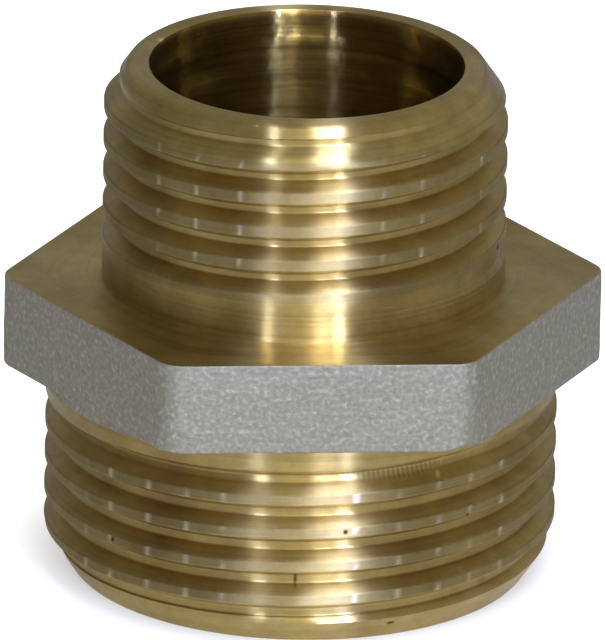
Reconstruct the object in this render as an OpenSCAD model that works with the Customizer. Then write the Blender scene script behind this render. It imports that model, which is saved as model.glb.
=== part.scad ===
// Reducing hexagon nipple, turned brass, one piece.
// It stands on its large end. Z runs up the bore to the small end, and a flat faces -Y.

/* [Large end] */
// Diameter over the large thread and its neck
large_thread_d = 26.2; // [25:0.05:27]
// Length from the base to the hexagon
large_end_len = 11.05; // [9:0.05:16]
// Plain neck between the large thread and the hexagon
large_neck_len = 1.25; // [0.6:0.05:3]
// Height that the last groove climbs while it runs out into the large neck
large_runout_len = 0.6; // [0.3:0.05:3]
// Diameter at the foot of the large entry chamfer
large_entry_d = 23.3; // [22.4:0.05:24.4]
// Height of the large entry chamfer
large_entry_len = 2.2; // [1:0.05:3]
// Turn of the large thread round the axis
large_start_deg = 272; // [0:1:360]

/* [Small end] */
// Diameter over the small thread and its neck
small_thread_d = 20.67; // [19.8:0.01:21.2]
// Length from the hexagon to the top of the rim
small_end_len = 11.35; // [9:0.05:16]
// Plain neck between the hexagon and the small thread
small_neck_len = 1.65; // [0.6:0.05:3]
// Height that the first groove climbs while it deepens from the small neck
small_runout_len = 0.7; // [0.3:0.05:3]
// Diameter at the head of the small entry chamfer
small_entry_d = 18.3; // [17.6:0.05:19]
// Height of the small entry chamfer
small_entry_len = 1.65; // [0.8:0.05:3]
// Turn of the small thread round the axis
small_start_deg = 66; // [0:1:360]
// Width of the flat ring round the bore at the rim
rim_flat_w = 0.62; // [0.3:0.02:0.7]
// Height of the broken outer edge of the rim
rim_break_h = 0.15; // [0.05:0.01:0.4]

/* [Thread form] */
// Thread pitch, fourteen turns to the inch
thread_pitch = 1.814; // [1.3:0.001:2.2]
// Angle between the two flanks of a thread
thread_angle = 55; // [50:1:60]
// Width of the flat left on a crest
crest_flat_w = 0.3; // [0.2:0.01:0.4]
// Depth of the thread
thread_depth = 1.12; // [0.7:0.01:1.16]
// Straight sides a turn of thread is drawn with
turn_sides = 60; // [36:4:64]

/* [Hexagon] */
// Width across the flats
hex_af = 27; // [26:0.1:32]
// Height of the hexagon
hex_h = 4.6; // [3:0.1:9]
// Radius on the six upright edges
hex_corner_r = 1.65; // [0.5:0.05:3]
// Height of the cut on the lower corners
hex_cut_h = 0.35; // [0.1:0.05:1]
// Angle of that cut from the lower face
hex_cut_angle = 30; // [20:1:45]

/* [Bore] */
// Diameter of the bore through the small end
bore_d = 16; // [13:0.1:16.6]
// Diameter at the mouth of the bore
mouth_d = 16.1; // [15:0.1:17]
// Depth of the slightly wider mouth
mouth_depth = 1.45; // [0.5:0.05:3]
// Diameter of the bore in the large end
large_bore_d = 20; // [17:0.1:21]
// Depth of the large bore from the base
large_bore_depth = 10.5; // [6:0.1:12]
// Height of the cone between the two bores
bore_cone_h = 2; // [0.5:0.1:4]
// Chamfer inside the base
base_edge = 0.4; // [0.1:0.05:1]

/* [Hidden] */
$fn = 96;
brass = [0.72, 0.6, 0.34];
overlap = 1;
skin = 0.01;
root_in = 0.6;
tuck = 0.25;
hair = 0.00001;
turn = 360;
land_h = 0.2;
root_least = 0.08;
turns_below = 2;
spare_turns = 4;
// places of the values in the list that describes a threaded rod
CREST_R = 0;
START = 1;
LOW = 2;
HIGH = 3;
RUN_Z = 4;
RUN_LEN = 5;
SIDE = 6;
ENTRY_R = 7;
ENTRY_Z = 8;
ENTRY_SLOPE = 9;
FIRST_TURN = 10;
hex_z = large_end_len;
hex_top = hex_z + hex_h;
part_h = hex_top + small_end_len;
large_r = large_thread_d / 2;
small_r = small_thread_d / 2;
large_neck_z = hex_z - large_neck_len;
small_neck_z = hex_top + small_neck_len;
flank_tan = tan(thread_angle / 2);
deepest = (thread_pitch - crest_flat_w - root_least) / (2 * flank_tan);
cut_depth = min(thread_depth, deepest);
flank_w = cut_depth * flank_tan;
root_w = thread_pitch - crest_flat_w - 2 * flank_w;
half_crest = crest_flat_w / 2;
hex_centre_r = (hex_af / 2 - hex_corner_r) / cos(30);
hex_tip_r = hex_centre_r + hex_corner_r;
cut_r = hex_tip_r - hex_cut_h / tan(hex_cut_angle);
// heights of the knots of one turn, counted from the middle of a crest
knots = [
    -half_crest,
    half_crest,
    half_crest + flank_w / 2,
    half_crest + flank_w,
    half_crest + flank_w + root_w,
    half_crest + 1.5 * flank_w + root_w
];
per_turn = len(knots);

// A number kept between two limits
function held(v, low, high) = min(max(v, low), high);

// How far the tool cuts in, at a height counted from the middle of a crest
function groove(h) =
    let (p = h - thread_pitch * floor(h / thread_pitch + 0.5))
    held((abs(p) - half_crest) / flank_w, 0, 1) * cut_depth;

// Height that the thread has climbed to at an angle
function climb(s, a) = thread_pitch * (s[START] + a) / turn;

// Height of the middle of the groove that a point lies in
function root_z(s, a, z) =
    let (c = climb(s, a))
    c + thread_pitch * (floor((z - c) / thread_pitch) + 0.5);

// Radius of a threaded rod at an angle and a height.
// The groove runs out along its helix at the neck, and the entry chamfer cuts the crests down.
function rod_r(s, a, z) =
    let (cut = groove(z - climb(s, a)))
    let (fade = held((root_z(s, a, z) - s[RUN_Z]) * s[SIDE] / s[RUN_LEN], 0, 1))
    let (inward = max(0, (s[ENTRY_Z] - z) * s[SIDE]))
    let (cone = s[ENTRY_R] + inward * s[ENTRY_SLOPE])
    min(s[CREST_R] - min(cut, fade * cut_depth), cone);

// Height of knot j on column i before it is held between the ends
function knot_z(s, i, j) =
    climb(s, turn * i / turn_sides)
    + thread_pitch * (s[FIRST_TURN] + floor(j / per_turn))
    + knots[j % per_turn];

// Column turn_sides is column 0 one turn further up
function wrap_i(i) = i % turn_sides;
function wrap_j(i, j) = j + per_turn * floor(i / turn_sides);

// Number of the point that stands for knot j on column i
function at(s, i, j) = at_wrapped(s, wrap_i(i), wrap_j(i, j));
function at_wrapped(s, i, j) =
    let (z = knot_z(s, i, j))
    z <= s[LOW] + hair ? i
    : z >= s[HIGH] - hair ? turn_sides + i
    : 2 * turn_sides + j * turn_sides + i;

function ring(r, z) = [
    for (i = [0 : turn_sides - 1])
        let (a = turn * i / turn_sides)
        [r * cos(a), r * sin(a), z]
];

function held_ring(s, z) = [
    for (i = [0 : turn_sides - 1])
        let (a = turn * i / turn_sides)
        let (r = rod_r(s, a, z))
        [r * cos(a), r * sin(a), z]
];

// A solid rod with a true helical thread, closed at both ends.
// foot and head are the radius and height of the end faces beyond the threaded length
module threaded_rod(s, foot, head) {
    rows = ceil((s[HIGH] - s[LOW]) / thread_pitch + spare_turns) * per_turn;
    grid = [
        for (j = [0 : rows + per_turn - 1])
            for (i = [0 : turn_sides - 1])
                let (z = held(knot_z(s, i, j), s[LOW], s[HIGH]))
                let (a = turn * i / turn_sides)
                let (r = rod_r(s, a, z))
                [r * cos(a), r * sin(a), z]
    ];
    first_foot = 2 * turn_sides + len(grid);
    first_head = first_foot + turn_sides;
    skin_faces = [
        for (i = [0 : turn_sides - 1])
            for (j = [0 : rows - 2])
                let (p = at(s, i, j))
                let (q = at(s, i + 1, j))
                let (u = at(s, i + 1, j + 1))
                let (v = at(s, i, j + 1))
                each [[p, u, q], [p, v, u]]
    ];
    end_faces = [
        for (i = [0 : turn_sides - 1])
            let (n = (i + 1) % turn_sides)
            each [
                [first_foot + i, n, first_foot + n],
                [first_foot + i, i, n],
                [turn_sides + i, first_head + n, turn_sides + n],
                [turn_sides + i, first_head + i, first_head + n]
            ]
    ];
    foot_cap = [for (i = [0 : turn_sides - 1]) first_foot + i];
    head_cap = [for (i = [turn_sides - 1 : -1 : 0]) first_head + i];
    kept = [
        for (f = skin_faces)
            if (f[0] != f[1] && f[1] != f[2] && f[2] != f[0]) f
    ];
    polyhedron(
        points = concat(
            held_ring(s, s[LOW]),
            held_ring(s, s[HIGH]),
            grid,
            ring(foot[0], foot[1]),
            ring(head[0], head[1])
        ),
        faces = concat(kept, end_faces, [foot_cap, head_cap]),
        convexity = 10
    );
}

// The large thread, from the base up into the large neck
module large_rod() {
    low = land_h;
    high = large_neck_z + tuck;
    slope = (large_r - large_entry_d / 2) / large_entry_len;
    start_turn = floor(low / thread_pitch) - turns_below;
    spec = [
        large_r - skin, large_start_deg, low, high,
        large_neck_z, large_runout_len, -1,
        large_entry_d / 2, 0, slope, start_turn
    ];
    threaded_rod(
        spec,
        [large_entry_d / 2, 0],
        [large_r - root_in, high + tuck]
    );
}

// The small thread, from inside the small neck up to the rim
module small_rod() {
    low = small_neck_z - tuck;
    high = part_h - rim_break_h;
    slope = (small_r - small_entry_d / 2) / small_entry_len;
    start_turn = floor(low / thread_pitch) - turns_below;
    spec = [
        small_r - skin, small_start_deg, low, high,
        small_neck_z, small_runout_len, 1,
        small_entry_d / 2, high, slope, start_turn
    ];
    threaded_rod(
        spec,
        [small_r - root_in, low - tuck],
        [mouth_d / 2 + rim_flat_w, part_h]
    );
}

// The hexagon, its upright edges rounded and its lower corners turned off
module hexagon() {
    tall = hex_h + overlap;
    intersection() {
        translate([0, 0, hex_z])
            linear_extrude(height = hex_h)
                hex_outline();
        translate([0, 0, hex_z])
            cylinder(r1 = cut_r, r2 = cut_r + tall / tan(hex_cut_angle), h = tall);
    }
}

// Outline of the hexagon with rounded corners
module hex_outline() {
    offset(r = hex_corner_r)
        circle(r = hex_centre_r, $fn = 6);
}

// The plain round body the threads run out into
module necks() {
    translate([0, 0, large_neck_z])
        cylinder(r = large_r, h = large_neck_len + overlap);
    translate([0, 0, hex_top - overlap])
        cylinder(r = small_r, h = small_neck_len + overlap);
}

// The stepped bore right through, with its mouth and its cone
module bore() {
    cone_z = large_bore_depth + bore_cone_h;
    rotate_extrude()
        polygon([
            [0, -overlap],
            [large_bore_d / 2 + base_edge + overlap, -overlap],
            [large_bore_d / 2, base_edge],
            [large_bore_d / 2, large_bore_depth],
            [bore_d / 2, cone_z],
            [bore_d / 2, part_h - mouth_depth],
            [mouth_d / 2, part_h],
            [mouth_d / 2, part_h + overlap],
            [0, part_h + overlap]
        ]);
}

// The whole nipple as one solid
module nipple() {
    color(brass)
        difference() {
            union() {
                hexagon();
                necks();
                large_rod();
                small_rod();
            }
            bore();
        }
}

nipple();
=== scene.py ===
import math

import bpy
import numpy as np
from mathutils import Matrix


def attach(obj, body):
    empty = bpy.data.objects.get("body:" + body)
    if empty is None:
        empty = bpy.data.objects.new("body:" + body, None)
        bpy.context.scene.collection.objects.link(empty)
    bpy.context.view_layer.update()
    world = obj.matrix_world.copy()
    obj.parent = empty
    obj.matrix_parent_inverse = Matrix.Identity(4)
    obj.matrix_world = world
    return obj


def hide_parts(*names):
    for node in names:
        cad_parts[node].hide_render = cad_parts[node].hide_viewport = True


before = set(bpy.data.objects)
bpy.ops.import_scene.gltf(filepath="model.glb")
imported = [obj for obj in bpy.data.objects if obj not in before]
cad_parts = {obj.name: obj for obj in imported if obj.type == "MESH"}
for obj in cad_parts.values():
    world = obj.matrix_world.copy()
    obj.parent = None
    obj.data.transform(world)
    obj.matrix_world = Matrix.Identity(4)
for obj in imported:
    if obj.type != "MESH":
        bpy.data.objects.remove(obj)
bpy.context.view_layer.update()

# Sizes in millimetres, with heights from the base. Most are those of the part's source, but the threads
# are worn here and the hexagon's lower face lies 0.13 mm lower, as in the photograph.
MM = 0.001
PITCH = 1.814
FLANK = 27.5
FLANK_TAN = math.tan(math.radians(FLANK))
FLANK_TURN = math.radians(90 - FLANK)
LARGE_R = 13.1
LARGE_START = 272.0
LARGE_LOW = 0.2
LARGE_NECK_Z = 9.8
LARGE_RUNOUT = 0.6
LARGE_SHALLOW_Z = (8.1, 8.6)
LARGE_ENTRY_R = 11.65
LARGE_ENTRY = 2.2
SMALL_R = 10.315
SMALL_START = 66.0
SMALL_NECK_Z = 17.3
SMALL_RUNOUT = 0.7
SMALL_HIGH = 26.83
SMALL_ENTRY_R = 9.15
SMALL_ENTRY = 1.65
SMALL_ENTRY_Z = 26.85
HEX_Z = 10.92
HEX_TOP = 15.65
# The flats lie 0.06 mm inside the source's 27 mm, because they swell by about that much.
HEX_HALF = 13.44
HEX_CORNER_R = 1.59
HEX_EDGE = 0.04
# The chamfer under the corners, which is deeper at one of them.
HEX_CUT_R = 15.15
HEX_CUT_SLOPE = math.tan(math.radians(30))
DEEP_CORNER = math.radians(300)
DEEP_CORNER_WIDTH = math.radians(14)
DEEP_CORNER_CUT = 0.42
# The step of forging that the tool left on the photograph's left, under the hexagon.
STEP_SIDE = math.radians(180)
STEP_ENDS = (math.radians(50), math.radians(66))
STEP_H = 0.46
STEP_PROUD = 0.32
RIM_Z = 27.0
MOUTH_R = 8.05
MOUTH_Z = 25.55
BORE_R = 8.0
LARGE_BORE_R = 10.0

# Columns round the bore, in six equal sides of the hexagon, each from corner to corner.
SIDE_COLUMNS = 48
CORNER_COLUMNS = 14
COLUMNS = 6 * SIDE_COLUMNS
ANGLE = np.arange(COLUMNS) * (2 * math.pi / COLUMNS)

# The lay map: how many millimetres it counts round the bore, and how far along it each band starts. A
# thread counts 1.6 mm of it for each millimetre of height.
GIRTH = 82.0
LARGE_LAY, NECK_LAY, STEP_LAY, HEX_LAY = 0.0, 17.0, 18.2, 20.0
SMALL_NECK_LAY, SMALL_LAY, BORE_LAY = 34.0, 40.0, 60.0
THREAD_LAY = 1.6

LARGE_SEED, SMALL_SEED, SWELL_SEED = 5, 9, 41
BRASS, GREY, BORE = 0, 1, 2

# The side that the camera sees, in degrees round the bore, and the painted highlights of small lamps
# on the thread tops, in degrees to the right of it.
CAMERA_AZIMUTH = 265.93
LARGE_GLINT_ANGLES = (-56, -47, -36.3, -26, -17.4, 12.9, 22.7, 32.3, 41.9, 51.7)
SMALL_GLINT_ANGLES = (-45.8, -32.2, -18.7, 22.5, 35.5, 60.7)

# Marks that this nipple has picked up, each as its centre and its half size.
DARK_MARKS = (
    ((-1.02, -12.56, 3.61), (0.11, 0.6, 0.34)),
    ((1.45, -13.02, 6.44), (0.13, 0.13, 0.13)),
    ((7.85, -10.49, 6.29), (0.13, 0.13, 0.13)),
    ((-10.1, -8.34, 4.36), (0.13, 0.13, 0.16)),
    ((9.64, -3.62, 18.27), (0.16, 0.16, 0.18)),
    ((3.89, -11.56, 0.95), (0.25, 0.2, 0.12)),
)
BROWN_MARKS = (
    ((9.21, -8.89, 2.0), (0.6, 0.6, 0.25)),
    ((-8.1, -9.4, 5.6), (0.5, 0.5, 0.22)),
)
# A scratch and a dent on the rim: real marks, painted pale as their glint, a painted highlight.
BRIGHT_MARKS = (
    ((6.5, -11.2, 9.4), (0.2, 0.6, 0.42)),
    ((6.25, -11.3, 8.95), (0.16, 0.4, 0.25)),
    ((-7.19, 3.68, 27.0), (0.22, 0.22, 0.15)),
)
CHATTER_MARKS = (((4.3, -12.0, 9.25), (2.8, 1.6, 0.36)),)

# Sizes of the patterns on the metal. A tool ring runs on past a whole turn before it changes.
RING_GAP, RING_RUN = 0.33, 170.0
CHATTER_PITCH = 0.28
FILM_SIZE = 3.85
STAIN_SIZE = 5.9
SHAKE_ROUND, SHAKE_ALONG = 1.67, 0.95
PIT_SIZE = 0.18
DENT_SIZE = 0.38
SPECKLE_SIZE = 0.24


def smooth_step(low, high, x):
    """Rises from 0 at low to 1 at high along 3t^2 - 2t^3."""
    t = np.clip((x - low) / (high - low), 0.0, 1.0)
    return t * t * (3.0 - 2.0 * t)


def ripple(seed, size_mm, count, *coords):
    """Sum of count sine waves of about size_mm in random directions and phases, from about -1 to 1."""
    rng = np.random.default_rng(seed)
    total = 0.0
    for _ in range(count):
        way = rng.normal(size=len(coords))
        way *= 2 * math.pi / (size_mm * np.linalg.norm(way)) * rng.uniform(0.7, 1.4)
        phase = rng.uniform(0, 2 * math.pi)
        total = total + np.sin(sum(w * c for w, c in zip(way, coords)) + phase)
    return total / math.sqrt(count)


class Turn:
    """One pitch of a thread as rows of height and cut: a flat crest with broken edges, a straight flank at
    27.5 degrees from square, a flat root with small fillets, and the same again on the way back. A row
    just inside each end of a flat keeps the flat's shading plain."""

    def __init__(self, crest_half, depth, crest_round, root_round):
        half = math.tan(FLANK_TURN / 2)
        arc = np.linspace(0.0, FLANK_TURN, 3)
        foot = crest_half + depth * FLANK_TAN
        out_d = crest_half + crest_round * (np.sin(arc) - half)
        out_cut = crest_round * (1 - np.cos(arc))
        in_d = (foot - root_round * (np.sin(arc) - half))[::-1]
        in_cut = (depth - root_round * (1 - np.cos(arc)))[::-1]
        near, far = 0.93 * out_d[-1] + 0.07 * in_d[0], 0.07 * out_d[-1] + 0.93 * in_d[0]
        near_cut, far_cut = 0.93 * out_cut[-1] + 0.07 * in_cut[0], 0.07 * out_cut[-1] + 0.93 * in_cut[0]
        root_d = PITCH / 2 - 0.8 * (PITCH / 2 - in_d[-1])
        half_d = np.concatenate([[out_d[0] * 0.85], out_d, [near, far], in_d, [root_d]])
        half_cut = np.concatenate([[0.0], out_cut, [near_cut, far_cut], in_cut, [depth]])
        self.depth = depth
        self.z = np.concatenate([half_d, PITCH - half_d[::-1]])
        self.cut = np.concatenate([half_cut, half_cut[::-1]])

    def cut_at(self, height, shallow):
        """Depth of the thread at a height above the middle of a crest, read from the rows. Where shallow
        is 1, the side that faces up is a gentle cone instead of the steep flank. Where it is 0, the cone
        lies deeper than any thread and cuts nothing."""
        at = np.mod(height, PITCH)
        z = np.concatenate([[self.z[-1] - PITCH], self.z, [self.z[0] + PITCH]])
        cut = np.concatenate([[self.cut[-1]], self.cut, [self.cut[0]]])
        cone = 1.1 * np.maximum(at - 0.1, 0.0) + 3.0 * (1.0 - shallow)
        return np.minimum(np.interp(at, z, cut), cone)


LARGE_TURN = Turn(crest_half=0.235, depth=0.86, crest_round=0.07, root_round=0.09)
SMALL_TURN = Turn(crest_half=0.265, depth=0.9, crest_round=0.07, root_round=0.09)
ROWS_PER_TURN = len(LARGE_TURN.z)


class Skin:
    """Collects rings of points and the bands of faces between them, with a lay map: round the bore in
    u and along the profile in v, both in millimetres over LAY_SCALE."""

    LAY_SCALE = 100.0

    def __init__(self):
        self.points, self.count = [], 0
        self.crest, self.nick = [], []
        self.tris, self.lay, self.kind = [], [], []

    def add(self, xyz, crest=0.0, nick=0.0):
        """Stores points shaped (..., 3) and returns their numbers. crest is 1 on the rubbed thread tops,
        and the last weight is up to 1 where a painted highlight of a small lamp lies on them."""
        flat = xyz.reshape(-1, 3)
        self.points.append(flat)
        self.crest.append(np.broadcast_to(crest, xyz.shape[:-1]).reshape(-1))
        self.nick.append(np.broadcast_to(nick, xyz.shape[:-1]).reshape(-1))
        numbers = np.arange(self.count, self.count + len(flat)).reshape(xyz.shape[:-1])
        self.count += len(flat)
        return numbers

    def cover(self, numbers, v, kind):
        """Fills the grid whose point numbers are (rows, COLUMNS + 1) with triangles and drops those that
        have shrunk to a line. v is the profile length of each row."""
        rows, cols = numbers.shape
        u = np.broadcast_to(np.arange(cols) * (GIRTH / COLUMNS), (rows, cols))
        v = np.broadcast_to(np.asarray(v, float).reshape(rows, -1), (rows, cols))
        lay = np.stack([u, v], axis=-1) / self.LAY_SCALE
        a, b = numbers[:-1, :-1], numbers[:-1, 1:]
        c, d = numbers[1:, 1:], numbers[1:, :-1]
        la, lb, lc, ld = lay[:-1, :-1], lay[:-1, 1:], lay[1:, 1:], lay[1:, :-1]
        for tri, lays in (((a, b, c), (la, lb, lc)), ((a, c, d), (la, lc, ld))):
            tri = np.stack(tri, axis=-1).reshape(-1, 3)
            lays = np.stack(lays, axis=-2).reshape(-1, 3, 2)
            keep = (tri[:, 0] != tri[:, 1]) & (tri[:, 1] != tri[:, 2]) & (tri[:, 2] != tri[:, 0])
            self.tris.append(tri[keep])
            self.lay.append(lays[keep])
            self.kind.append(np.full(int(keep.sum()), kind, np.int32))

    def band(self, rings, v, kind=BRASS):
        """Joins whole rings, each shaped (COLUMNS,), one after the other."""
        grid = np.stack(rings)
        self.cover(np.concatenate([grid, grid[:, :1]], axis=1), v, kind)

    def make(self, name, materials):
        """Turns the collected bands into one mesh object with its lay map and materials."""
        points = np.concatenate(self.points) * MM
        tris = np.concatenate(self.tris)
        used, tris = np.unique(tris, return_inverse=True)
        tris = tris.reshape(-1, 3)
        points = points[used]
        mesh = bpy.data.meshes.new(name)
        mesh.vertices.add(len(points))
        mesh.vertices.foreach_set("co", points.ravel())
        mesh.loops.add(tris.size)
        mesh.loops.foreach_set("vertex_index", tris.ravel().astype(np.int32))
        mesh.polygons.add(len(tris))
        mesh.polygons.foreach_set("loop_start", np.arange(0, tris.size, 3, dtype=np.int32))
        mesh.polygons.foreach_set("material_index", np.concatenate(self.kind))
        mesh.polygons.foreach_set("use_smooth", np.ones(len(tris), bool))
        lay = mesh.uv_layers.new(name="lay")
        lay.uv.foreach_set("vector", np.concatenate(self.lay).ravel())
        for title, values in (("crest", self.crest), ("nick", self.nick)):
            kept = mesh.attributes.new(title, "FLOAT", "POINT")
            kept.data.foreach_set("value", np.concatenate(values)[used].astype(np.float32))
        mesh.update(calc_edges=True)
        mesh.set_sharp_from_angle(angle=math.radians(50))
        for material in materials:
            mesh.materials.append(material)
        thing = bpy.data.objects.new(name, mesh)
        bpy.context.scene.collection.objects.link(thing)
        return thing


def round_points(r, z):
    """Points at radius r and height z over the columns; r and z are (rows,) or (rows, COLUMNS)."""
    r, z = np.asarray(r, float), np.asarray(z, float)
    if r.ndim == 1:
        r = np.repeat(r[:, None], COLUMNS, axis=1)
    if z.ndim == 1:
        z = np.repeat(z[:, None], COLUMNS, axis=1)
    return np.stack([r * np.cos(ANGLE), r * np.sin(ANGLE), z], axis=-1)


def raised(outline, z):
    """Points of a flat outline, lifted to one height or to a height for each column."""
    return np.concatenate([outline, np.broadcast_to(z, COLUMNS)[:, None]], axis=1)


def worn(r, angle, z, seed):
    """Radius with the slight waviness of a turned thread and fine burrs along its crests."""
    x, y = r * np.cos(angle), r * np.sin(angle)
    return r + 0.004 * ripple(seed, 4.5, 10, x, y, z) + 0.0012 * ripple(seed + 1, 0.9, 14, x, y, z)


def thread_radius(angle, z, turn, crest_r, start, fade, shallow, cone):
    """Crest radius less the groove, and never more than the entry cone. The groove's depth fades, and its
    upper side turns to a cone, with the height that the middle of the groove has climbed to."""
    climbed = z - PITCH * (angle / (2 * math.pi) + start)
    middle = z - climbed + PITCH * (np.floor(climbed / PITCH + 1e-9) + 0.5)
    cut = turn.cut_at(climbed, shallow(middle))
    return np.minimum(crest_r - np.minimum(cut, fade(middle) * turn.depth), cone(z))


def thread_grid(skin, turn, crest_r, start_deg, low, high, fade, shallow, cone, seed, v0, glint_angles):
    """A helical thread from low to high. Row k of turn t lies at height k + pitch * (t + angle / turn),
    held between the two ends. Column 288 is column 0 one turn further up. Returns the end rings."""
    first = math.floor(low / PITCH) - 2
    turns = math.ceil((high - low) / PITCH) + 4
    rows = turns * ROWS_PER_TURN
    step = np.arange(rows + ROWS_PER_TURN)
    start = start_deg / 360.0
    base_z = turn.z[step % ROWS_PER_TURN] + PITCH * (first + step // ROWS_PER_TURN + start)
    raw_z = base_z[:, None] + PITCH * ANGLE / (2 * math.pi)
    z = np.clip(raw_z, low, high)
    angle = np.broadcast_to(ANGLE, z.shape)
    r = worn(thread_radius(angle, z, turn, crest_r, start, fade, shallow, cone), angle, z, seed)

    # Rubbed, with painted highlights of lamps, on the full crests only, and clear of both ends of the
    # thread.
    top = 1.0 - smooth_step(0.03, 0.12, crest_r - r)
    clear = smooth_step(0.3, 0.8, z - low) * smooth_step(0.3, 0.8, high - z)
    glint_levels = np.random.default_rng(seed + 20).uniform(0.15, 1.0, (turns + 1, len(glint_angles)))
    # Painted highlights: pale ticks where small lamps glint on the crests, at fixed angles from the
    # camera.
    nick = np.zeros_like(r)
    whole = fade(z - PITCH)
    for i, glint_angle in enumerate(glint_angles):
        column = round((CAMERA_AZIMUTH + glint_angle) / 360.0 * COLUMNS) % COLUMNS
        on_crest = (crest_r - r[:, column] < 0.03) * whole[:, column]
        nick[:, column] = on_crest * glint_levels[step // ROWS_PER_TURN, i]
    inner = skin.add(np.stack([r * np.cos(angle), r * np.sin(angle), z], axis=-1), top * clear,
                     nick * clear)

    ends = []
    for height in (low, high):
        level = np.full(COLUMNS, height)
        r = thread_radius(ANGLE, level, turn, crest_r, start, fade, shallow, cone)
        r = worn(r, ANGLE, level, seed)
        ends.append(skin.add(np.stack([r * np.cos(ANGLE), r * np.sin(ANGLE), level], axis=-1)))
    near = 1e-4
    numbers = np.where(raw_z <= low + near, ends[0], np.where(raw_z >= high - near, ends[1], inner))
    seam = numbers[ROWS_PER_TURN:, :1]
    grid = np.concatenate([numbers[:rows], seam], axis=1)
    skin.cover(grid, base_z[:rows] * THREAD_LAY + v0, BRASS)
    return ends


def large_thread(skin):
    """The large thread, from its entry cone at the base up to the neck. Its last turn has a gentler upper
    side, and the groove runs out into the neck."""

    def fade(middle):
        return np.clip((LARGE_NECK_Z - middle) / LARGE_RUNOUT, 0.0, 1.0)

    def shallow(middle):
        return smooth_step(*LARGE_SHALLOW_Z, middle)

    def cone(z):
        return LARGE_ENTRY_R + np.maximum(0.0, z) * (LARGE_R - LARGE_ENTRY_R) / LARGE_ENTRY

    return thread_grid(skin, LARGE_TURN, LARGE_R, LARGE_START, LARGE_LOW, LARGE_NECK_Z, fade, shallow,
                       cone, LARGE_SEED, LARGE_LAY, LARGE_GLINT_ANGLES)


def small_thread(skin):
    """The small thread, from the neck up to its entry cone under the rim."""

    def fade(middle):
        return np.clip((middle - SMALL_NECK_Z) / SMALL_RUNOUT, 0.0, 1.0)

    def shallow(middle):
        return 0.0

    def cone(z):
        return SMALL_ENTRY_R + np.maximum(0.0, SMALL_ENTRY_Z - z) * (SMALL_R - SMALL_ENTRY_R) / SMALL_ENTRY

    return thread_grid(skin, SMALL_TURN, SMALL_R, SMALL_START, SMALL_NECK_Z, SMALL_HIGH, fade, shallow,
                       cone, SMALL_SEED, SMALL_LAY, SMALL_GLINT_ANGLES)


def large_neck(skin, thread_end):
    """The plain neck above the large thread. The tool stopped short on one side, and left a low step of
    the blasted forging under the hexagon. Returns the ring under the hexagon."""
    side = np.abs(np.angle(np.exp(1j * (ANGLE - STEP_SIDE))))
    step = STEP_H * (1.0 - smooth_step(*STEP_ENDS, side))
    step_r = LARGE_R + STEP_PROUD * smooth_step(0.0, 0.2, step)
    share = np.linspace(0.0, 1.0, 6)[1:]
    neck_z = LARGE_NECK_Z + (HEX_Z - step - 0.04 - LARGE_NECK_Z) * share[:, None]
    neck = skin.add(round_points(worn(np.full((5, COLUMNS), LARGE_R), ANGLE, neck_z, LARGE_SEED), neck_z))
    left_z = np.stack([HEX_Z - step - 0.03, HEX_Z - step, HEX_Z - 0.6 * step, np.full(COLUMNS, HEX_Z)])
    left_r = np.stack([step_r * 0.4 + LARGE_R * 0.6, step_r, step_r, step_r])
    left = skin.add(round_points(left_r, left_z))
    skin.band([thread_end, *neck], NECK_LAY + np.linspace(0, 1.15, 6))
    skin.band([neck[-1], *left], STEP_LAY + np.linspace(0, 0.5, 5), GREY)
    return left[-1]


def small_neck(skin, thread_end):
    """The plain neck between the hexagon and the small thread. Returns the ring on the hexagon."""
    neck_z = np.linspace(HEX_TOP, SMALL_NECK_Z, 9)[:-1]
    neck_r = worn(np.full((8, COLUMNS), SMALL_R), ANGLE, neck_z[:, None], SMALL_SEED)
    neck = skin.add(round_points(neck_r, neck_z))
    skin.band([*neck, thread_end], SMALL_NECK_LAY + np.linspace(0, 2.25, 9))
    return neck[0]


def hex_outline(inset):
    """Outline of the hexagon, inset by a distance, in COLUMNS points from the middle of one rounded
    corner round to the same place: an arc of CORNER_COLUMNS steps, then the straight flat."""
    radius = HEX_CORNER_R - inset
    centre = (HEX_HALF - HEX_CORNER_R) / math.cos(math.radians(30))
    half = CORNER_COLUMNS // 2
    arc = np.linspace(0, math.radians(30), half + 1)
    arc_x, arc_y = centre + radius * np.cos(arc), radius * np.sin(arc)
    run = np.linspace(0, 1, SIDE_COLUMNS - CORNER_COLUMNS + 1)
    way = math.radians(120)
    flat_x = arc_x[-1] + centre * run * math.cos(way)
    flat_y = arc_y[-1] + centre * run * math.sin(way)
    back = np.linspace(math.radians(30), math.radians(60), half + 1)
    end_x = centre * math.cos(math.radians(60)) + radius * np.cos(back)
    end_y = centre * math.sin(math.radians(60)) + radius * np.sin(back)
    x = np.concatenate([arc_x, flat_x[1:], end_x[1:-1]])
    y = np.concatenate([arc_y, flat_y[1:], end_y[1:-1]])
    out = []
    for k in range(6):
        c, s = math.cos(k * math.pi / 3), math.sin(k * math.pi / 3)
        out.append(np.stack([x * c - y * s, x * s + y * c], axis=-1))
    return np.concatenate(out)


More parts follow.
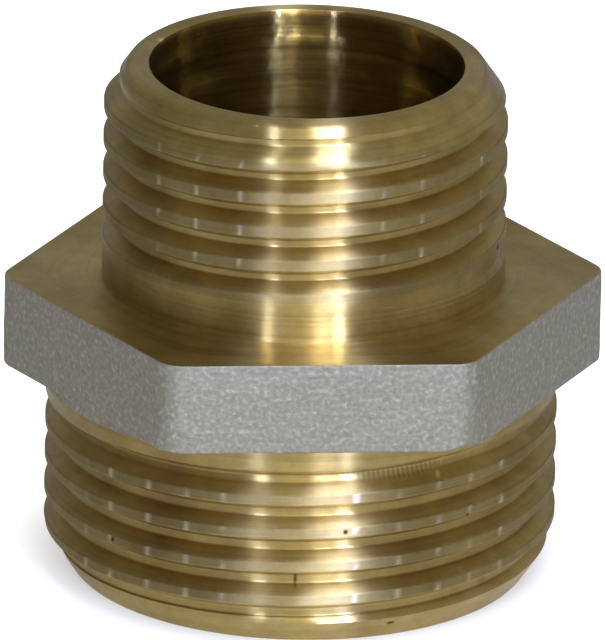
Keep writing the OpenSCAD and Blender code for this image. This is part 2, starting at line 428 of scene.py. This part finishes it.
def hexagon(skin, lower_ring, upper_ring):
    """The hexagon from the large neck out, up its six blasted flats and back in to the small neck. The
    flats swell and dip by a few hundredths of a millimetre, and their edges are slightly broken."""
    inner = hex_outline(HEX_EDGE)
    reach = np.hypot(inner[:, 0], inner[:, 1])
    corner = np.angle(np.exp(1j * (ANGLE - DEEP_CORNER)))
    cut_r = HEX_CUT_R - DEEP_CORNER_CUT * np.exp(-(corner / DEEP_CORNER_WIDTH) ** 2)
    cut = np.minimum(reach - 0.02, cut_r)
    lift = np.maximum(0.0, (reach - cut_r) * HEX_CUT_SLOPE)
    steps = np.radians([0, 30, 60, 90])

    # The lower face, the chamfer under each corner and the lower edge.
    rings = [lower_ring, skin.add(raised(inner / reach[:, None] * cut[:, None], HEX_Z))]
    for a in steps:
        edge = hex_outline(HEX_EDGE * (1 - math.sin(a)))
        rings.append(skin.add(raised(edge, HEX_Z + lift + HEX_EDGE * (1 - math.cos(a)))))
    skin.band(rings, HEX_LAY + np.array([0, 1.5, 2.0, 2.03, 2.06, 2.1]), GREY)

    # The flats. Close rows at both ends keep the broken edges narrow in the shading.
    outline = hex_outline(0.0)
    low = HEX_Z + lift + HEX_EDGE
    high = HEX_TOP - HEX_EDGE
    shares = np.concatenate([[0.0, 0.02], np.linspace(0.06, 0.94, 16), [0.98, 1.0]])
    normal = outline - hex_outline(0.5)
    normal /= np.linalg.norm(normal, axis=1)[:, None]
    flats = [rings[-1]]
    for share in shares[1:-1]:
        z = low + (high - low) * share
        swell = 0.016 * ripple(SWELL_SEED, 4.0, 8, outline[:, 0], outline[:, 1], z)
        swell = swell + 0.009 * ripple(SWELL_SEED + 1, 1.1, 16, outline[:, 0], outline[:, 1], z)
        fade = min(share, 1 - share) / 0.12
        place = outline + normal * (swell * min(1.0, fade) + 0.03 * min(1.0, fade * 0.5))[:, None]
        flats.append(skin.add(raised(place, z)))
    for a in steps[::-1]:
        edge = hex_outline(HEX_EDGE * (1 - math.sin(a)))
        flats.append(skin.add(raised(edge, HEX_TOP - HEX_EDGE * (1 - math.cos(a)))))
    skin.band(flats, HEX_LAY + 2.1 + 4.4 * np.concatenate([shares, [1.01, 1.02, 1.03]]), GREY)

    # The turned upper face, whose rings change from the hexagon to a circle on the way in to the neck.
    within = hex_outline(0.3)
    around = np.stack([np.cos(ANGLE), np.sin(ANGLE)], axis=-1) * (SMALL_R + 0.35)
    rings = [flats[-1], skin.add(raised(within, HEX_TOP))]
    for share in (0.5, 0.85, 1.0):
        rings.append(skin.add(raised(within * (1 - share) + around * share, HEX_TOP)))
    rings.append(upper_ring)
    skin.band(rings, HEX_LAY + 6.5 + np.array([0.1, 0.35, 1.7, 2.6, 3.0, 3.3]))


def bore(skin, rim_start, base_end):
    """The rim, the bore down through its cone to the large end, and the base's flat ring. The places are
    pairs of radius and height."""
    rim = [(9.06, 26.91), (8.9, 26.96), (8.7, 26.985), (8.4, RIM_Z), (8.14, RIM_Z), (8.08, 26.99),
           (MOUTH_R, 26.96)]
    mouth_z = np.array([26.6, 26.1, 25.62, MOUTH_Z, 25.48, 25.1, 24.8, 24.75, 24.3, 23.7, 23.64, 22.8,
                        21.5, 19.5, 17.0, 14.5, 12.6])
    mouth_r = np.interp(mouth_z, [MOUTH_Z, 26.96], [BORE_R, MOUTH_R])
    cone = [(BORE_R, 12.54), (8.04, 12.46), (8.5, 12.0), (9.3, 11.2), (9.96, 10.54)]
    wide = [(LARGE_BORE_R, z) for z in (10.46, 10.3, 8.0, 5.0, 2.5, 0.6)]
    foot = [(LARGE_BORE_R, 0.46), (10.03, 0.39), (10.34, 0.05), (10.4, 0.01), (10.5, 0.0), (11.0, 0.0),
            (11.5, 0.0), (11.58, 0.015), (11.63, 0.05), (11.68, 0.1)]

    # The drill left four stretches from the mouth down, each a little out of round. Each has the heights
    # between which it gives way to the next, how far out of round it is, its number of lobes and phase.
    stretches = ((25.5, 25.6, 0.02, 5, 0.7), (24.76, 24.8, 0.02, 6, 2.1), (23.65, 23.7, 0.02, 5, 4.0),
                 (0.0, 0.1, 0.012, 7, 1.0))
    lobes = above = 0.0
    for low, high, out, count, phase in stretches:
        reached = smooth_step(low, high, mouth_z)[:, None]
        lobes = lobes + (reached - above) * out * np.sin(count * ANGLE + phase)
        above = reached

    rings = [rim_start, *skin.add(round_points(*np.transpose(rim))),
             *skin.add(round_points(mouth_r[:, None] + lobes, mouth_z)),
             *skin.add(round_points(*np.transpose(cone + wide))),
             *skin.add(round_points(*np.transpose(foot))), base_end]
    profile = np.array([(9.17, SMALL_HIGH), *rim, *zip(mouth_r, mouth_z), *cone, *wide, *foot,
                        (11.78, LARGE_LOW)])
    v = BORE_LAY + np.concatenate([[0], np.cumsum(np.hypot(*np.diff(profile, axis=0).T))])
    start, stop = len(rim), len(rim) + len(mouth_z)
    skin.band(rings[:start + 1], v[:start + 1])
    skin.band(rings[start:stop + 1], v[start:stop + 1], BORE)
    skin.band(rings[stop:], v[stop:])


def build_nipple(materials):
    """The whole nipple as one closed skin, followed up the outside and down the bore."""
    skin = Skin()
    base = large_thread(skin)
    top = small_thread(skin)
    under_hex = large_neck(skin, base[1])
    on_hex = small_neck(skin, top[0])
    hexagon(skin, under_hex, on_hex)
    bore(skin, top[1], base[0])
    return skin.make("nipple_body", materials)


# Materials


def colour(text):
    """sRGB hex to linear RGBA."""
    parts = [int(text[i:i + 2], 16) / 255 for i in (1, 3, 5)]
    return [p / 12.92 if p <= 0.04045 else ((p + 0.055) / 1.055) ** 2.4 for p in parts] + [1.0]


def node(tree, kind, settings=None, **links):
    """Adds one node, sets its properties, inputs and colour stops, and links its inputs to the outputs
    of others. A link has its input's name, with _ for a space, or i and the input's number."""
    made = tree.nodes.new(kind)
    for key, value in (settings or {}).items():
        if key == "stops":
            marks = made.color_ramp.elements
            while len(marks) < len(value):
                marks.new(0.5)
            for mark, (place, tone) in zip(marks, value):
                mark.position = place
                mark.color = colour(tone) if isinstance(tone, str) else [tone] * 3 + [1.0]
        elif isinstance(key, str) and key not in made.inputs:
            setattr(made, key, value)
        else:
            made.inputs[key].default_value = value
    for key, source in links.items():
        numbered = key[0] == "i" and key[1:].isdigit()
        tree.links.new(source, made.inputs[int(key[1:]) if numbered else key.replace("_", " ")])
    return made


def new_material(name):
    """An empty material and its node tree."""
    material = bpy.data.materials.new(name)
    material.use_nodes = True
    material.node_tree.nodes.clear()
    return material, material.node_tree


def spots(tree, place, marks):
    """1 inside any of the marks and 0 outside. Each mark is its centre and its half size, in mm."""
    found = None
    for centre, reach in marks:
        far = node(tree, "ShaderNodeVectorMath", {"operation": "SUBTRACT", 1: [c * MM for c in centre]},
                   i0=place).outputs[0]
        far = node(tree, "ShaderNodeVectorMath", {"operation": "DIVIDE", 1: [r * MM for r in reach]},
                   i0=far).outputs[0]
        far = node(tree, "ShaderNodeVectorMath", {"operation": "LENGTH"}, i0=far).outputs["Value"]
        inside = node(tree, "ShaderNodeMapRange", {"From Min": 1.3, "From Max": 0.5}, Value=far)
        found = inside.outputs[0] if found is None else node(
            tree, "ShaderNodeMath", {"operation": "MAXIMUM"}, i0=found, i1=inside.outputs[0]).outputs[0]
    return found


def lay_scale(round_mm, along_mm):
    """Mapping scale at which a noise of scale 1 has these sizes round the bore and along the profile."""
    return (Skin.LAY_SCALE / round_mm, Skin.LAY_SCALE / along_mm, 1)


def lathe_metal(name, plain, dull, smooth, chatter):
    """Metal as it leaves the lathe. The tool's fine rings spread each reflection along the axis, which
    draws lamps out into upright streaks. plain and dull are three tones each, dull for the thread tops,
    and smooth is the least roughness. chatter is how far the tool has shaken, in millimetres, which
    breaks the streaks up."""
    material, tree = new_material(name)
    where = node(tree, "ShaderNodeTexCoord").outputs
    place, lay = where["Object"], where["UV"]
    rubbed = node(tree, "ShaderNodeAttribute", {"attribute_name": "crest"}).outputs["Fac"]
    # The second weight marks the painted highlights of small lamps on the crests.
    painted_glint_share = node(tree, "ShaderNodeAttribute", {"attribute_name": "nick"}).outputs["Fac"]
    painted_glint_share = node(tree, "ShaderNodeMath", {"operation": "POWER", 1: 1.15}, i0=painted_glint_share).outputs[0]

    # Tool rings a third of a millimetre apart along the profile, unbroken round the bore. The real ones
    # are finer and would hardly show, so these are drawn coarser.
    ring = node(tree, "ShaderNodeMapping", {"Scale": lay_scale(RING_RUN, RING_GAP)}, Vector=lay)
    ring = node(tree, "ShaderNodeTexNoise", {"noise_dimensions": "2D", "Scale": 1.0, "Detail": 2.0,
                                             "Roughness": 0.6}, Vector=ring.outputs[0]).outputs["Fac"]

    # Handling marks and the film of cutting oil, from four millimetres down to an eighth.
    cloud = node(tree, "ShaderNodeTexNoise", {"Scale": 1 / (FILM_SIZE * MM), "Detail": 5.0,
                                              "Roughness": 0.72}, Vector=place).outputs["Fac"]
    places = (0.3, 0.5, 0.7)
    bright = node(tree, "ShaderNodeValToRGB", {"stops": list(zip(places, plain))}, i0=cloud)
    pale = node(tree, "ShaderNodeValToRGB", {"stops": list(zip(places, dull))}, i0=cloud)
    tone = node(tree, "ShaderNodeMix", {"data_type": "RGBA"}, i0=rubbed, i6=bright.outputs["Color"],
                i7=pale.outputs["Color"]).outputs[2]
    line = node(tree, "ShaderNodeValToRGB", {"stops": [(0.3, 0.86), (0.5, 1.0), (0.7, 1.0)]}, i0=ring)
    tone = node(tree, "ShaderNodeMix", {"data_type": "RGBA", "blend_type": "MULTIPLY", 0: 1.0},
                i6=tone, i7=line.outputs["Color"]).outputs[2]

    # Reddish stains where damp has sat, some millimetres across.
    damp = node(tree, "ShaderNodeTexNoise", {"Scale": 1 / (STAIN_SIZE * MM), "Detail": 4.0,
                                             "Roughness": 0.6}, Vector=place)
    damp = node(tree, "ShaderNodeMapRange", {"From Min": 0.52, "From Max": 0.72, "To Max": 0.45},
                Value=damp.outputs["Fac"]).outputs[0]

    # A run of upright chatter lines, where the threading tool left the cut.
    comb = node(tree, "ShaderNodeSeparateXYZ", i0=lay).outputs["X"]
    comb = node(tree, "ShaderNodeMath", {"operation": "MULTIPLY",
                                         1: 2 * math.pi * Skin.LAY_SCALE / CHATTER_PITCH}, i0=comb)
    comb = node(tree, "ShaderNodeMath", {"operation": "SINE"}, i0=comb.outputs[0])
    comb = node(tree, "ShaderNodeMapRange", {"From Min": 0.1, "From Max": 0.9}, Value=comb.outputs[0])
    comb = node(tree, "ShaderNodeMath", {"operation": "MULTIPLY"}, i0=comb.outputs[0],
                i1=spots(tree, place, CHATTER_MARKS)).outputs[0]

    # Each of these covers the metal with a plain tone where its share is 1.
    covers = (
        (damp, "#8f6f48"),
        (spots(tree, place, DARK_MARKS), "#463618"),
        (spots(tree, place, BROWN_MARKS), "#7d5c2c"),
        # The scratch and the rim's dent, with their glint painted in as a painted highlight.
        (spots(tree, place, BRIGHT_MARKS), "#fff0b0"),
        # The painted highlights of small lamps on the crests.
        (painted_glint_share, "#fff4d2"),
        (comb, "#cebc84"),
    )
    for share, hue in covers:
        tone = node(tree, "ShaderNodeMix", {"data_type": "RGBA", 7: colour(hue)}, i0=share,
                    i6=tone).outputs[2]

    rough = node(tree, "ShaderNodeMapRange", {"From Min": 0.3, "From Max": 0.7, "To Min": smooth,
                                              "To Max": smooth + 0.04}, Value=ring)
    rough = node(tree, "ShaderNodeMath", {"operation": "MULTIPLY_ADD", 1: 0.24}, i0=rubbed,
                 i2=rough.outputs["Result"])
    cut = node(tree, "ShaderNodeBump", {"Strength": 0.3, "Distance": 0.04 * MM}, Height=ring)
    if chatter:
        shake = node(tree, "ShaderNodeMapping", {"Scale": lay_scale(SHAKE_ROUND, SHAKE_ALONG)},
                     Vector=lay)
        shake = node(tree, "ShaderNodeTexNoise", {"noise_dimensions": "2D", "Scale": 1.0, "Detail": 2.0,
                                                  "Roughness": 0.4}, Vector=shake.outputs["Vector"])
        cut = node(tree, "ShaderNodeBump", {"Strength": 1.0, "Distance": chatter * MM},
                   Height=shake.outputs["Fac"], Normal=cut.outputs["Normal"])
    lathe = node(tree, "ShaderNodeTangent", {"direction_type": "RADIAL", "axis": "Z"}).outputs["Tangent"]
    shader = node(tree, "ShaderNodeBsdfPrincipled",
                  {"Metallic": 1.0, "Anisotropic": 1.0, "Anisotropic Rotation": 0.25}, Base_Color=tone,
                  Roughness=rough.outputs[0], Normal=cut.outputs["Normal"], Tangent=lathe)
    node(tree, "ShaderNodeOutputMaterial", Surface=shader.outputs["BSDF"])
    return material


def turned_brass():
    """Free-cutting brass, bright from the tool, with the tops of the threads rubbed paler and duller."""
    plain = ("#a48c54", "#b69f5f", "#c6b072")
    dull = ("#ae9a64", "#c0ab70", "#cfbc84")
    return lathe_metal("turned_brass", plain, dull, smooth=0.285, chatter=0.0)


def drilled_brass():
    """The drilled bore, in darker tones than the outside: painted shade inside the recess."""
    tones = ("#7c6836", "#927c42", "#a99255")
    return lathe_metal("drilled_brass", tones, tones, smooth=0.22, chatter=0.025)


def blasted_grey():
    """Grit-blasted flats under a thin grey plate: matt, with pits and dents a fifth to two fifths of a
    millimetre across, and pale specks a quarter of a millimetre across: painted sparkle of their rims."""
    material, tree = new_material("blasted_grey_plate")
    place = node(tree, "ShaderNodeTexCoord").outputs["Object"]
    pits = node(tree, "ShaderNodeTexNoise", {"Scale": 1 / (PIT_SIZE * MM), "Detail": 2.0,
                                             "Roughness": 0.5}, Vector=place).outputs["Fac"]
    dents = node(tree, "ShaderNodeTexNoise", {"Scale": 1 / (DENT_SIZE * MM), "Detail": 0.0,
                                              "Roughness": 0.5}, Vector=place).outputs["Fac"]
    speckle = node(tree, "ShaderNodeTexNoise", {"Scale": 1 / (SPECKLE_SIZE * MM), "Detail": 2.0,
                                                "Roughness": 0.45}, Vector=place).outputs["Fac"]
    # The pale stops are painted sparkle, a painted highlight of the pit rims.
    stops = [(0.3, "#97927b"), (0.5, "#9f9a82"), (0.62, "#aaa48a"), (0.8, "#c2bc9f")]
    tone = node(tree, "ShaderNodeValToRGB", {"stops": stops}, i0=speckle)
    rough = node(tree, "ShaderNodeMapRange", {"From Min": 0.3, "From Max": 0.7, "To Min": 0.6,
                                              "To Max": 0.7}, Value=pits)
    first = node(tree, "ShaderNodeBump", {"Strength": 0.5, "Distance": 0.05 * MM}, Height=pits)
    second = node(tree, "ShaderNodeBump", {"Strength": 0.5, "Distance": 0.06 * MM}, Height=dents,
                  Normal=first.outputs["Normal"])
    shader = node(tree, "ShaderNodeBsdfPrincipled", {"Metallic": 1.0}, Base_Color=tone.outputs["Color"],
                  Roughness=rough.outputs["Result"], Normal=second.outputs["Normal"])
    node(tree, "ShaderNodeOutputMaterial", Surface=shader.outputs["BSDF"])
    return material


def white_table():
    """Matt white table. Camera, glossy and transmission rays see it a little brighter, so the background
    is white and the brass shows that white, while the nipple's shadow stays. Distances are in metres."""
    material, tree = new_material("white_table")
    ray = node(tree, "ShaderNodeLightPath").outputs
    place = node(tree, "ShaderNodeTexCoord").outputs["Object"]
    away = node(tree, "ShaderNodeVectorMath", {"operation": "LENGTH"}, i0=place).outputs["Value"]

    # What the camera sees: full white, less close to the foot of the nipple, where its shadow lies.
    clear = node(tree, "ShaderNodeValToRGB", {"stops": [(0.0125, 0.45), (0.016, 0.9), (0.026, 1.0)]},
                 i0=away).outputs["Color"]
    seen = node(tree, "ShaderNodeMath", {"operation": "MULTIPLY"}, i0=ray["Is Camera Ray"], i1=clear)

    # What the brass shows: a little glow near the foot, and more of it on the camera's side.
    near = node(tree, "ShaderNodeValToRGB", {"stops": [(0.012, 1.0), (0.02, 0.25), (0.3, 0.0)]},
                i0=away).outputs["Color"]
    fall = node(tree, "ShaderNodeValToRGB", {"stops": [(0.06, 0.33), (0.3, 0.03)]},
                i0=away).outputs["Color"]
    apart = node(tree, "ShaderNodeSeparateXYZ", i0=place)
    front = node(tree, "ShaderNodeMapRange", {"interpolation_type": "SMOOTHSTEP", "From Min": 0.015,
                                              "From Max": -0.04, "To Min": 0.0, "To Max": 1.0},
                 Value=apart.outputs["Y"])
    lit = node(tree, "ShaderNodeMath", {"operation": "MULTIPLY"}, i0=front.outputs["Result"], i1=fall)
    near = node(tree, "ShaderNodeMath", {"operation": "MULTIPLY_ADD", 1: 0.2}, i0=near, i2=lit.outputs[0])
    shown = node(tree, "ShaderNodeMath", {"operation": "MAXIMUM"}, i0=ray["Is Glossy Ray"],
                 i1=ray["Is Transmission Ray"])
    shown = node(tree, "ShaderNodeMath", {"operation": "MULTIPLY"}, i0=shown.outputs[0],
                 i1=near.outputs[0])

    glow = node(tree, "ShaderNodeMath", {"operation": "ADD"}, i0=seen.outputs[0], i1=shown.outputs[0])
    # The table's colour darkens from 0.1 m to 0.35 m out: a painted pool of light round the nipple.
    pale = node(tree, "ShaderNodeValToRGB", {"stops": [(0.1, "#bfbdaf"), (0.35, "#a09e92")]}, i0=away)
    shader = node(tree, "ShaderNodeBsdfPrincipled",
                  {"Roughness": 0.9, "Specular IOR Level": 0.1, "Emission Color": (1.0, 1.0, 1.0, 1.0)},
                  Base_Color=pale.outputs["Color"], Emission_Strength=glow.outputs[0])
    node(tree, "ShaderNodeOutputMaterial", Surface=shader.outputs["BSDF"])
    return material


# Stage and camera


def make_floor():
    """A square table top three metres across, with its top at the base of the nipple."""
    half = 1.5
    mesh = bpy.data.meshes.new("table_top")
    mesh.from_pydata([(-half, -half, 0), (half, -half, 0), (half, half, 0), (-half, half, 0)], [],
                     [(0, 1, 2, 3)])
    mesh.materials.append(white_table())
    floor = bpy.data.objects.new("table_top", mesh)
    bpy.context.scene.collection.objects.link(floor)


def place_frame(thing, right, up, back, place):
    """Sets a camera or lamp at place, looking against back, with its own right and up."""
    turned = Matrix([[*row] for row in np.stack([right, up, back], axis=1)]).to_4x4()
    turned.translation = place
    thing.matrix_world = turned


# Camera fitted to the photograph's outline: a long lens, 1.2 m from the nipple. The point on the axis
# that is AIM_HEIGHT millimetres up falls on AIM_PIXEL of the photograph.
CAMERA_AWAY = 1.2
CAMERA_PITCH = 20.765
CAMERA_ROLL = 0.9946
PIXELS_PER_MM = 19.5565
FRAME_W, FRAME_H = 605, 640
AIM_PIXEL = (302.809, 302.134)
AIM_HEIGHT = 14.0

# Lamp colours that the yellow metal turns nearly white, and the share of full white at a lamp's level 1.
LAMP_TINT = (0.96, 1.03, 1.65)
PALE_TINT = (0.94, 1.12, 2.2)
LAMP_SHARE = 0.68


def spin_dir(azimuth, elevation):
    """The unit vector towards an azimuth and elevation in degrees."""
    a, e = math.radians(azimuth), math.radians(elevation)
    return np.array([math.cos(a) * math.cos(e), math.sin(a) * math.cos(e), math.sin(e)])


def make_camera():
    """The view of the photograph."""
    data = bpy.data.cameras.new("camera")
    camera = bpy.data.objects.new("camera", data)
    bpy.context.scene.collection.objects.link(camera)
    away = spin_dir(CAMERA_AZIMUTH, CAMERA_PITCH)
    right = np.cross([0.0, 0.0, 1.0], away)
    right /= np.linalg.norm(right)
    up = np.cross(away, right)
    c, s = math.cos(math.radians(CAMERA_ROLL)), math.sin(math.radians(CAMERA_ROLL))
    right, up = right * c + up * s, up * c - right * s
    dx = (FRAME_W / 2 - AIM_PIXEL[0]) / PIXELS_PER_MM
    dy = -(FRAME_H / 2 - AIM_PIXEL[1]) / PIXELS_PER_MM
    target = np.array([0.0, 0.0, AIM_HEIGHT]) + right * dx + up * dy
    place_frame(camera, right, up, away, target * MM + away * CAMERA_AWAY)
    data.sensor_width = 36.0
    data.lens = data.sensor_width * PIXELS_PER_MM * CAMERA_AWAY / MM / FRAME_H
    data.clip_start = 0.01
    data.clip_end = 20.0
    bpy.context.scene.camera = camera


def strip_lamp(name, side, elevation, away, width, height, level, tint=LAMP_TINT):
    """A strip of light that a turned surface facing side degrees right of the camera shows as one upright
    streak. Every point of it lies in the plane where the light and the camera's view mirror about that
    upright line: its distance from the parallel plane through the bore is cos(pitch) * sin(side).
    level is its brightness, where 1 is LAMP_SHARE of full white."""
    data = bpy.data.lights.new(name, "AREA")
    data.shape = "RECTANGLE"
    data.size, data.size_y = width, height
    data.energy = LAMP_SHARE * level * math.pi * width * height
    data.color = tint
    lamp = bpy.data.objects.new(name, data)
    bpy.context.scene.collection.objects.link(lamp)
    turn, rise = math.radians(CAMERA_AZIMUTH + side), math.radians(elevation)
    across = np.array([-math.sin(turn), math.cos(turn), 0.0])
    forward = np.array([math.cos(turn), math.sin(turn), 0.0])
    share = math.cos(math.radians(CAMERA_PITCH)) * math.sin(math.radians(side))
    flat = math.sqrt(1.0 - share * share)
    back = across * share + (forward * math.cos(rise) + np.array([0.0, 0.0, math.sin(rise)])) * flat
    along = np.cross(back, across)
    along /= np.linalg.norm(along)
    place = np.array([0.0, 0.0, AIM_HEIGHT * MM]) + back * away
    place_frame(lamp, np.cross(along, back), along, back, place)


def make_lights():
    """A pale grey room with a window behind the camera and three upright strips, each twice."""
    world = bpy.data.worlds.new("grey_room")
    bpy.context.scene.world = world
    world.use_nodes = True
    tree = world.node_tree
    way = node(tree, "ShaderNodeTexCoord")
    height = node(tree, "ShaderNodeSeparateXYZ", i0=way.outputs["Generated"])
    shade = node(tree, "ShaderNodeValToRGB", {"stops": [(0.0, 0.12), (0.3, 0.37), (0.8, 0.36)]},
                 i0=height.outputs["Z"])
    right = node(tree, "ShaderNodeMath", {"operation": "MULTIPLY_ADD", 1: 0.35, 2: 1.0},
                 i0=height.outputs["X"])
    tree.links.new(shade.outputs["Color"], tree.nodes["Background"].inputs["Color"])
    tree.links.new(right.outputs[0], tree.nodes["Background"].inputs["Strength"])

    # A broad window behind the camera, then streaks low in front, for the walls and crests, and high
    # up, for the flanks that face up: side and elevation in degrees, away, width and height in metres.
    strip_lamp("window", 1.0, 27.0, 2.6, 1.3, 2.0, 1.9, (1.0, 1.0, 1.0))
    strip_lamp("wide_low", 5.6, 21.0, 1.0, 0.15, 0.62, 9.6)
    strip_lamp("wide_high", 5.6, 64.0, 1.0, 0.15, 0.6, 12.0)
    strip_lamp("right_low", 10.6, 21.0, 1.0, 0.014, 0.62, 155.0, PALE_TINT)
    strip_lamp("right_high", 9.8, 64.0, 1.0, 0.014, 0.6, 75.0, PALE_TINT)
    strip_lamp("left_low", -9.6, 21.0, 1.0, 0.0095, 0.62, 120.0, PALE_TINT)
    strip_lamp("left_high", -9.8, 64.0, 1.0, 0.011, 0.6, 25.0)


make_camera()
make_floor()
make_lights()
nipple = build_nipple([turned_brass(), blasted_grey(), drilled_brass()])
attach(nipple, "root")
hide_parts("nipple")
bpy.context.scene.view_settings.view_transform = "Standard"
